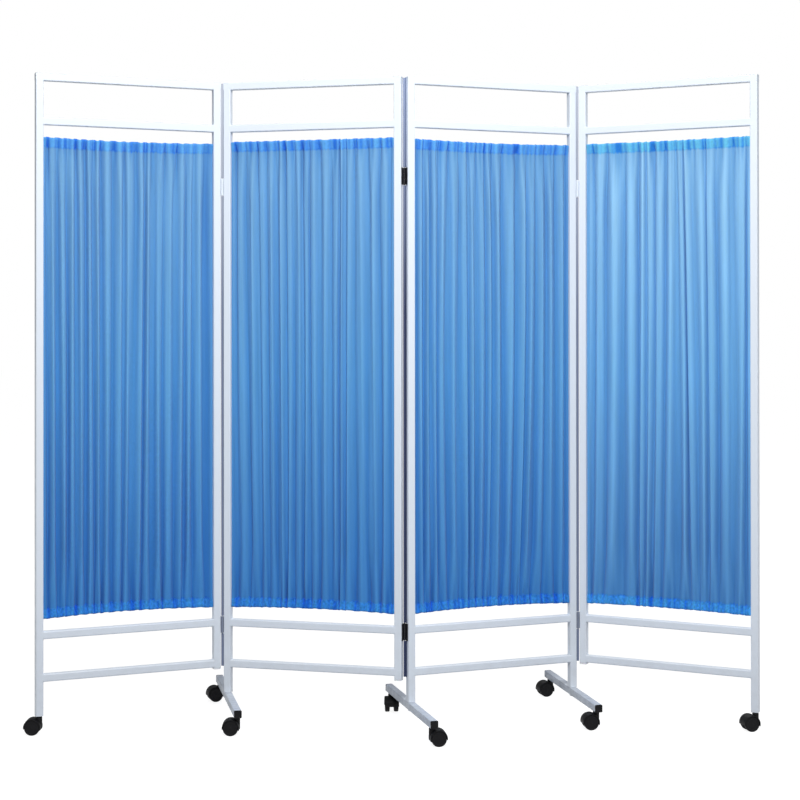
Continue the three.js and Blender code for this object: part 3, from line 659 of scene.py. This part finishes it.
# Hinges: steel butt hinges, 45 mm tall, two in each joint. The outer joints' hinges are coated white with the
# frames above and painted grey below, the painted shade of the slot they sit in, with their pins at the
# front, and the middle joint's are black with their pins at the back. Each leaf is riveted to its post's
# side.
HINGE_HALF = 22.5
KNUCKLE_THIRD = 7.5
LEAF_FACE = 3.2
LEAF_THICKNESS = 1.5
LEAF_DEPTH = 16
KNUCKLE_GAP = 0.3
RIVET_DEPTH = 10
RIVET_HEIGHTS = (-14, 0, 14)
black_coat = powder_coat("black_powder_coat_on_steel", "#15171F", "#24262C", 0.45)
grey_coat_painted_slot_shade = powder_coat("grey_powder_coat_painted_slot_shade", "#7C869C", "#8A8F99", 0.42)
hinge_heights = {"left": (1441, 252), "middle": (1461, 252), "right": (1441, 252)}
hinge_bodies = {"left": (1, 2), "middle": (2, 3), "right": (3, 4)}


def turned(profile, sides):
    """Points and faces of a closed round form about +Z, from pairs of radius and height, from low to high."""
    points, faces, rings = [], [], []
    for radius, height in profile:
        if radius == 0:
            rings.append([len(points)] * sides)
            points.append((0, 0, height))
            continue
        rings.append(list(range(len(points), len(points) + sides)))
        for side in range(sides):
            turn = 2 * math.pi * side / sides
            points.append((radius * math.cos(turn), radius * math.sin(turn), height))
    for low, high in zip(rings, rings[1:]):
        for side in range(sides):
            after = (side + 1) % sides
            face = [low[side], low[after], high[after], high[side]]
            faces.append([at for i, at in enumerate(face) if at not in face[:i]])
    return points, faces


def arc(radius, start, end, steps):
    """Points on an arc, with its angles in degrees."""
    angles = np.radians(np.linspace(start, end, steps + 1))
    return [(float(radius * math.cos(a)), float(radius * math.sin(a))) for a in angles]


def plate(outline, low, high, axis):
    """Points and faces of a flat form: an outline in the two axes after the given one, from low to high."""
    points = []
    for level in (low, high):
        for first, second in outline:
            point = [0, 0, 0]
            point[axis], point[(axis + 1) % 3], point[(axis + 2) % 3] = level, first, second
            points.append(tuple(point))
    count = len(outline)
    faces = [list(range(count))[::-1], list(range(count, 2 * count))]
    for at in range(count):
        after = (at + 1) % count
        faces.append([at, after, count + after, count + at])
    return points, faces


def solid_piece(name, forms, place, smooth_angle, edge=0.0):
    """A piece of closed forms in millimetres, set in its place, with smooth faces and softened edges."""
    points, faces = [], []
    for form_points, form_faces in forms:
        faces += [[at + len(points) for at in face] for face in form_faces]
        points += form_points
    mesh = new_mesh(name, points, [], faces, place)
    mesh.shade_smooth()
    mesh.set_sharp_from_angle(angle=math.radians(smooth_angle))
    piece = new_piece(name, mesh)
    if edge:
        bevel = piece.modifiers.new("softened_edges", "BEVEL")
        bevel.width = edge * 0.001
        bevel.segments = 2
        bevel.limit_method = "ANGLE"
        bevel.angle_limit = math.radians(40)
    return piece


def hinge_half(has_pin):
    """Forms of one half: the pin on +Z, the leaf on its +X side and back along +Y."""
    notch = LEAF_FACE + KNUCKLE_GAP
    if has_pin:
        knuckles = [(-HINGE_HALF, -KNUCKLE_THIRD), (KNUCKLE_THIRD, HINGE_HALF)]
        edge = [(0, -HINGE_HALF), (0, -KNUCKLE_THIRD), (notch, -KNUCKLE_THIRD), (notch, KNUCKLE_THIRD)]
        edge += [(0, KNUCKLE_THIRD), (0, HINGE_HALF)]
    else:
        knuckles = [(KNUCKLE_GAP - KNUCKLE_THIRD, KNUCKLE_THIRD - KNUCKLE_GAP)]
        edge = [(notch, -HINGE_HALF), (notch, -KNUCKLE_THIRD), (0, -KNUCKLE_THIRD + KNUCKLE_GAP)]
        edge += [(0, KNUCKLE_THIRD - KNUCKLE_GAP), (notch, KNUCKLE_THIRD), (notch, HINGE_HALF)]
    outline = [(LEAF_DEPTH, HINGE_HALF), (LEAF_DEPTH, -HINGE_HALF)] + edge
    forms = [plate(outline[::-1], LEAF_FACE - LEAF_THICKNESS, LEAF_FACE, 0)]
    rim = LEAF_FACE - 0.5
    for low, high in knuckles:
        forms.append(turned([
            (0, low), (rim, low), (LEAF_FACE, low + 0.4), (LEAF_FACE, high - 0.4), (rim, high), (0, high),
        ], 32))
    if has_pin:
        top = HINGE_HALF
        forms.append(turned([
            (0, -top - 1.3), (1.3, -top - 1.1), (2.2, -top - 0.5), (2.4, -top + 0.1), (1.4, -top + 0.2),
            (1.4, top - 0.2), (2.4, top - 0.1), (2.2, top + 0.5), (1.3, top + 1.1), (0, top + 1.3),
        ], 24))
    return forms


rivet_tree, rivet = geometry_tree("rivet_heads", "Radius", "Rise")
dome = out(rivet_tree, "GeometryNodeMeshUVSphere", {"Segments": 14, "Rings": 8, "Radius": 1.0})
dome_size = out(
    rivet_tree, "ShaderNodeCombineXYZ", {"X": rivet["Rise"], "Y": rivet["Radius"], "Z": rivet["Radius"]},
)
end_tree(rivet_tree, rivet, on_points(rivet_tree, rivet, dome, Scale=dome_size))

for joint, (left_panel, right_panel) in hinge_bodies.items():
    # The lower outer hinges take a grey coat that paints the shade of the slot.
    paints = {"upper": (white_coat, "white_paint"), "lower": (grey_coat_painted_slot_shade, "black_paint")}
    if joint == "middle":
        paints = dict.fromkeys(paints, (black_coat, "black_paint"))
    pin_side = 1 if joint == "middle" else -1
    left_turn = Matrix.Rotation(math.pi, 4, "Z" if joint == "middle" else "Y")
    right_turn = Matrix.Rotation(math.pi if joint == "middle" else 0, 4, "X")
    halves = (
        ("pin_leaf", left_panel, POST_SPAN + PIN_REACH, left_turn),
        ("knuckle_leaf", right_panel, -PIN_REACH, right_turn),
    )
    for half, panel, x, turn in halves:
        place = panel_place(panel)
        for level, height in zip(("upper", "lower"), hinge_heights[joint]):
            paint, slot = paints[level]
            set_in = place @ Matrix.Translation((x, pin_side * PIN_DEPTH, height)) @ turn
            name = f"{joint}_{level}_hinge_{half}"
            piece = solid_piece(name + "_smooth", hinge_half(half == "pin_leaf"), set_in, 35, edge=0.25)
            piece.data.materials.append(paint)
            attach(piece, f"panel_{panel}")
            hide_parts(name)
            spots = [set_in @ Vector((LEAF_FACE - LEAF_THICKNESS, RIVET_DEPTH, z)) for z in RIVET_HEIGHTS]
            turns = [(0.0, 0.0, place.to_euler().z)] * len(spots)
            heads = point_piece(name + "_rivets", spots, {"turn": turns})
            run_tree(heads, rivet_tree, {"Radius": 0.0026, "Rise": 0.0006, "Material": paint})
            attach(heads, f"panel_{panel}")

# Gap strips: the slot of each joint is one dark line in the photograph, so it is closed here by an extruded
# rubber strip whose dark colour is painted shade of the slot. That is half round about the hinge pin, with a
# thin leg stuck to the side of its own post, and it stops at the hinges. The middle joint's is near black,
# like its hinges.
STRIP_RADIUS = 3.2
STRIP_LEG = (1.2, 9.0)
STRIP_TOP = 1723
STRIP_GAP = 0.05
HINGE_ROOM = 24
PAINTED_LIGHT_HEIGHTS = (1.1, 1.72)


def rubber(name, colour, lit_top_colour):
    """Extruded rubber: matt and faintly ribbed lengthwise by the die, in a dark colour that is painted paler
    towards its top, as painted light from above.
    """
    material, tree = new_material(name)
    place = add_node(tree, "ShaderNodeTexCoord").outputs["Object"]
    height = add_node(tree, "ShaderNodeSeparateXYZ", {0: place}).outputs["Z"]
    # Painted light: the colour is mixed towards a paler one from 1.1 m up to the strip's top.
    painted_top_light = out(tree, "ShaderNodeMapRange", (height, *PAINTED_LIGHT_HEIGHTS))
    tones = {0: painted_top_light, 6: linear(colour), 7: linear(lit_top_colour)}
    rib_place = out(tree, "ShaderNodeMapping", {"Vector": place, "Scale": (1500.0, 1500.0, 12.0)})
    ribs = out(tree, "ShaderNodeTexNoise", {"Vector": rib_place, "Scale": 1.0, "Detail": 1.0})
    end_material(tree, {
        "Base Color": add_node(tree, "ShaderNodeMix", tones, data_type="RGBA").outputs[2],
        "Roughness": out(tree, "ShaderNodeMapRange", (ribs, *NOISE_SPAN, 0.68, 0.84)),
        "IOR": 1.5, "Specular IOR Level": 0.35,
        "Normal": out(tree, "ShaderNodeBump", {"Strength": 0.3, "Distance": 0.00005, "Height": ribs}),
    })
    return material


# The strips' dark greys are painted shade of the joint slots.
grey_rubber_slot_shade = rubber("extruded_rubber_grey_painted_slot_shade", "#7A85A0", "#BCC3D2")
black_rubber_slot_shade = rubber("extruded_rubber_black_painted_slot_shade", "#434C6C", "#93A0BC")
for joint, panel, x, own_side, low in (
    ("left", 2, -PIN_REACH, 1, 140),
    ("middle", 3, -PIN_REACH, 1, 133),
    ("right", 3, POST_SPAN + PIN_REACH, -1, 140),
):
    inward = -1 if joint == "middle" else 1
    face = PIN_REACH - TUBE_HALF - STRIP_GAP
    thick, deep = STRIP_LEG
    outline = [(face, 0), (face, deep), (face - thick, deep), *arc(STRIP_RADIUS, 45, 180, 9)]
    outline = [(own_side * across, inward * along) for across, along in outline][::own_side * inward]
    upper, lower = hinge_heights[joint]
    stops = (low, lower - HINGE_ROOM, lower + HINGE_ROOM, upper - HINGE_ROOM, upper + HINGE_ROOM, STRIP_TOP)
    spans = zip(stops[::2], stops[1::2])
    set_in = panel_place(panel) @ Matrix.Translation((x, -inward * PIN_DEPTH, 0))
    forms = [plate(outline, *span, 2) for span in spans]
    strip = solid_piece(f"{joint}_gap_strip", forms, set_in, 40, edge=0.2)
    strip.data.materials.append(black_rubber_slot_shade if joint == "middle" else grey_rubber_slot_shade)
    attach(strip, f"panel_{panel}")

# Post plugs: white polyethylene caps pressed into the open ends of the short posts. The plastic is a shade
# cooler and duller than the powder coat beside it.
white_plug = grained(
    "white_moulded_polyethylene", "#E9ECF1", roughness=(0.46, 0.56), grain=(900.0, 2.0),
    relief=(0.2, 0.00004), properties={"IOR": 1.51, "Subsurface Weight": 0.1, "Subsurface Scale": 0.001},
)
for number in (1, 2, 4):
    dress(f"panel_{number}_post_plug", white_plug)

# T-feet: one length of the same coated tube under each of the three long posts, turning on an M8 bolt. Shoes
# and mops have scuffed its coat to a cloudy grey. Black polyamide plugs close its ends.
scuffed_coat = powder_coat("white_powder_coat_scuffed", "#E0E8F2", "#949EAD", 0.45, most_darkening=0.85)
POLYAMIDE = {"IOR": 1.53, "Specular IOR Level": 0.2}
# The spark grain of the mould is 0.3 mm, and is drawn at 0.9 mm so that it shows.
black_plastic = grained(
    "black_moulded_polyamide", "#08080B", roughness=(0.5, 0.64), grain=(1100.0, 2.0), relief=(0.35, 0.00008),
    properties=POLYAMIDE, scuffs=(130.0, 4.0), worn=("#15151A", 0.5, 0.8, 0.5),
)

CASTOR_TOP = 47.7
BOLT_HEAD = 4.5
HEAD_RADIUS = 7.4
FLANGE_RADIUS = 8
SHANK_RADIUS = 4
hexagon = arc(HEAD_RADIUS, 0, 300, 5)
for number in range(1, 4):
    dress(f"foot_{number}_tube", scuffed_coat)
    for end in ("front", "rear"):
        dress(f"foot_{number}_{end}_plug", black_plastic)
    low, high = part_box(f"foot_{number}_bolt")
    set_in = Matrix.Translation(((low.x + high.x) / 2, (low.y + high.y) / 2, 0)) @ MILLIMETRES
    tip = high.z * 1000
    flanged_shank = [
        (0, CASTOR_TOP - 1.1), (FLANGE_RADIUS, CASTOR_TOP - 1.1), (FLANGE_RADIUS, CASTOR_TOP),
        (SHANK_RADIUS, CASTOR_TOP), (SHANK_RADIUS, tip), (0, tip),
    ]
    forms = [plate(hexagon, CASTOR_TOP - BOLT_HEAD, CASTOR_TOP - 1, 2), turned(flanged_shank, 32)]
    bolt = solid_piece(f"foot_{number}_hex_bolt", forms, set_in, 35, edge=0.35)
    bolt.data.materials.append(zinc_wire)
    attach(bolt, "panel_2" if number == 1 else "panel_3")
    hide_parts(f"foot_{number}_bolt")

# Castors: 40 mm twin-wheel furniture castors in black polyamide. One moulding is the hood over both wheels,
# the web between them and the collar that turns under the post. The wheels are pressed on a steel axle.
TRAIL = 16
WHEEL_RADIUS = 20
WEB_HALF = 5.5
WELL_DEPTH = 17.5
WHEEL_OUTER = 18.1
HOOD_INNER = 21.2
HOOD_START, HOOD_END = -8, 196
WEB_START = 48
HUB_RADIUS = 8
castor_bodies = ["left_end_castor", "right_end_castor"]
castor_bodies += [f"foot_{number}_{end}_castor" for number in (1, 2, 3) for end in ("front", "rear")]


def carved(form, tools):
    """A form with others cut out of it."""
    pieces = [solid_piece("carving", [each], Matrix(), 35) for each in (form, *tools)]
    for tool in pieces[1:]:
        cut = pieces[0].modifiers.new("cut", "BOOLEAN")
        cut.object = tool
        cut.operation = "DIFFERENCE"
        cut.solver = "EXACT"
    mesh = evaluated_mesh(pieces[0])
    points = [tuple(vertex.co) for vertex in mesh.vertices]
    faces = [list(face.vertices) for face in mesh.polygons]
    for piece in pieces:
        bpy.data.meshes.remove(piece.data)
    bpy.data.meshes.remove(mesh)
    return points, faces


def swivel_boss():
    """The round boss between the wheels, up to its collar and stem, hollowed where the wheels run by it."""
    top = CASTOR_TOP
    boss = turned([
        (0, 14), (5.5, 14), (7.6, 15), (8.5, 17), (8.5, top - 3.2), (8.2, top - 2.7), (7.7, top - 2.3),
        (7.5, top - 0.5), (7.1, top), (4, top), (4, top + 14), (0, top + 14),
    ], 48)
    wells = []
    for low, high in ((-WELL_DEPTH, -WEB_HALF), (WEB_HALF, WELL_DEPTH)):
        points, faces = turned([(0, low), (HOOD_INNER, low), (HOOD_INNER, high), (0, high)], 72)
        wells.append(([(TRAIL + x, z, WHEEL_RADIUS - y) for x, y, z in points], faces))
    return carved(boss, wells)


def hood_forms():
    """Forms of the hood moulding: the axle is on Y at TRAIL, the swivel is on Z, and the floor is z 0."""
    half = WHEEL_OUTER + 1.1
    outer = [(HOOD_INNER + 0.2, -half), (HOOD_INNER + 0.9, -half + 0.5), (HOOD_INNER + 1.35, -half + 2.0)]
    outer += [(HOOD_INNER + 1.6, -8.0), (HOOD_INNER + 1.65, 0.0), (HOOD_INNER + 1.6, 8.0)]
    outer += [(r, -y) for r, y in outer[2::-1]]
    inner = [(HOOD_INNER - 0.9, half), (HOOD_INNER - 0.9, half - 0.9), (HOOD_INNER, half - 1.0)]
    profile = outer + inner + [(r, -y) for r, y in inner[::-1]]
    steps = 40
    points, faces = [], []
    for step in range(steps + 1):
        angle = math.radians(HOOD_START + (HOOD_END - HOOD_START) * step / steps)
        for radius, y in profile:
            points.append((TRAIL + radius * math.cos(angle), y, WHEEL_RADIUS + radius * math.sin(angle)))
    count = len(profile)
    for step in range(steps):
        for at in range(count):
            after = (at + 1) % count
            a, b = step * count + at, step * count + after
            faces.append([a, b, b + count, a + count])
    faces.append(list(range(count))[::-1])
    faces.append(list(range(steps * count, (steps + 1) * count)))
    edge = arc(HOOD_INNER + 0.8, WEB_START, HOOD_END, 24) + arc(HUB_RADIUS, HOOD_END, WEB_START + 360, 24)
    outline = [(WHEEL_RADIUS + z, TRAIL + x) for x, z in edge]
    web = plate(outline, -WEB_HALF, WEB_HALF, 1)
    return [(points, faces), web, swivel_boss()]


wheel_tree, wheel = geometry_tree(
    "twin_wheels", "Radius", "Width", "Side", "Rim", "Shoulder", "Disc", "Cap", "Axle",
)
rim_half = out(wheel_tree, "ShaderNodeMath", (wheel["Rim"], 0.5), operation="MULTIPLY")
middle_radius = out(wheel_tree, "ShaderNodeMath", (wheel["Radius"], rim_half), operation="SUBTRACT")
round_path = out(wheel_tree, "GeometryNodeCurvePrimitiveCircle", {"Resolution": 64, "Radius": middle_radius})
tyre_section = rounded_box(wheel_tree, wheel["Rim"], wheel["Width"], wheel["Shoulder"], 5)
tyre = out(wheel_tree, "GeometryNodeCurveToMesh", {"Curve": round_path, "Profile Curve": tyre_section})
disc = out(
    wheel_tree, "GeometryNodeMeshCylinder", {"Vertices": 48, "Radius": middle_radius, "Depth": wheel["Disc"]},
)
cap = out(wheel_tree, "GeometryNodeMeshUVSphere", {"Segments": 32, "Rings": 16, "Radius": 1.0})
cap_depth = out(wheel_tree, "ShaderNodeMath", (wheel["Width"], 0.48), operation="MULTIPLY")
cap_size = out(wheel_tree, "ShaderNodeCombineXYZ", (wheel["Cap"], wheel["Cap"], cap_depth))
cap = out(wheel_tree, "GeometryNodeTransform", {"Geometry": cap, "Scale": cap_size})
one_wheel = out(wheel_tree, "GeometryNodeJoinGeometry", {0: [tyre, disc, cap]})
pair = []
for side in (-1.0, 1.0):
    reach = out(wheel_tree, "ShaderNodeMath", (wheel["Side"], side), operation="MULTIPLY")
    shift = out(wheel_tree, "ShaderNodeCombineXYZ", {"Z": reach})
    pair.append(out(wheel_tree, "GeometryNodeTransform", {"Geometry": one_wheel, "Translation": shift}))
axle_length = out(wheel_tree, "ShaderNodeMath", (wheel["Side"], 2.0), operation="MULTIPLY")
axle = out(
    wheel_tree, "GeometryNodeMeshCylinder", {"Vertices": 20, "Radius": wheel["Axle"], "Depth": axle_length},
)
both_wheels = out(wheel_tree, "GeometryNodeJoinGeometry", {0: [*pair, axle]})
end_tree(wheel_tree, wheel, on_points(wheel_tree, wheel, both_wheels))

# The wheels are polyamide too, worn to a dull dark grey where they roll and dusty from the floor.
tread = grained(
    "black_polyamide_tread_worn", "#0A0A0D", roughness=(0.6, 0.78), grain=(220.0, 5.0), relief=(0.4, 0.0001),
    properties=POLYAMIDE, worn=("#18181D", 0.45, 0.75, 0.6),
)

hood_parts = hood_forms()
for castor in castor_bodies:
    swivel = Vector(joints[castor + "_swivel"]["pos_m"])
    roll = Vector(joints[castor + "_roll"]["pos_m"])
    heading = math.atan2(roll.y - swivel.y, roll.x - swivel.x)
    set_in = Matrix.Translation((swivel.x, swivel.y, 0)) @ Matrix.Rotation(heading, 4, "Z") @ MILLIMETRES
    hood = solid_piece(castor + "_hood_moulding", hood_parts, set_in, 40, edge=0.4)
    hood.data.materials.append(black_plastic)
    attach(hood, castor)
    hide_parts(castor + "_hood")
    wheels = point_piece(castor + "_twin_wheels", [roll], {"turn": [(math.radians(90), 0.0, heading)]})
    run_tree(wheels, wheel_tree, {
        "Radius": 0.020, "Width": 0.012, "Side": 0.0121, "Rim": 0.007, "Shoulder": 0.0024, "Disc": 0.0095,
        "Cap": 0.0072, "Axle": 0.0024, "Material": tread,
    })
    wheels.data.set_sharp_from_angle(angle=math.radians(40))
    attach(wheels, castor + "_wheels")
    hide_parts(castor + "_wheels")

# Studio: a pale floor that the camera sees as white with the screen's faint shadow, a white surround, a soft
# lamp high in front, a weak one from each side and one behind that shines through the cloth.
WHITE = (1.0, 1.0, 1.0, 1.0)


def seen_by(tree, *rays):
    """1 for these kinds of ray and 0 for the rest."""
    path = add_node(tree, "ShaderNodeLightPath")
    seen = path.outputs[rays[0]]
    for ray in rays[1:]:
        seen = out(tree, "ShaderNodeMath", (seen, path.outputs[ray]), operation="MAXIMUM")
    return seen


floor_paper, tree = new_material("white_studio_floor")
matt = out(tree, "ShaderNodeBsdfDiffuse", {"Color": linear("#8C8E92")})
pale = out(tree, "ShaderNodeBsdfDiffuse", {"Color": (0.3, 0.3, 0.3, 1.0)})
white = out(tree, "ShaderNodeEmission", {"Color": WHITE, "Strength": 0.9})
lit = out(tree, "ShaderNodeAddShader", {0: pale, 1: white})
seen = seen_by(tree, "Is Camera Ray", "Is Glossy Ray", "Is Transmission Ray")
shown = out(tree, "ShaderNodeMixShader", {0: seen, 1: matt, 2: lit})
add_node(tree, "ShaderNodeOutputMaterial", {"Surface": shown})
floor_corners = [(-30, -30, 0), (30, -30, 0), (30, 30, 0), (-30, 30, 0)]
floor_mesh = new_mesh("floor", floor_corners, [], [(0, 1, 2, 3)])
floor_mesh.materials.append(floor_paper)
new_piece("floor", floor_mesh)

world = bpy.data.worlds.new("white_surround")
world.use_nodes = True
sky_tree = world.node_tree
sky_tree.nodes.clear()
seen = seen_by(sky_tree, "Is Camera Ray", "Is Transmission Ray")
level = out(sky_tree, "ShaderNodeMapRange", (seen, 0.0, 1.0, 0.33, 1.0))
sky = out(sky_tree, "ShaderNodeBackground", {"Color": WHITE, "Strength": level})
add_node(sky_tree, "ShaderNodeOutputWorld", {"Surface": sky})
scene.world = world

for name, spot, aim, size, power, tint in (
    ("front_softbox", (0.2, -2.6, 3.1), (0.0, 0.0, 1.1), 1.0, 97.0, (1.0, 0.99, 0.98)),
    ("left_fill", (-3.6, -1.6, 1.8), (0.0, 0.0, 1.2), 1.8, 8.0, (0.95, 0.97, 1.0)),
    ("right_fill", (4.0, -0.8, 1.8), (0.0, 0.0, 1.2), 1.8, 26.0, (0.95, 0.97, 1.0)),
    ("back_softbox", (0.5, 3.0, 3.2), (0.0, 0.0, 1.2), 2.4, 32.0, (1.0, 1.0, 1.0)),
):
    lamp = bpy.data.lights.new(name, "AREA")
    lamp.shape = "SQUARE"
    lamp.size = size
    lamp.energy = power
    lamp.color = tint
    lamp_object = new_piece(name, lamp)
    lamp_object.location = spot
    lamp_object.rotation_euler = (Vector(aim) - Vector(spot)).to_track_quat("-Z", "Y").to_euler()
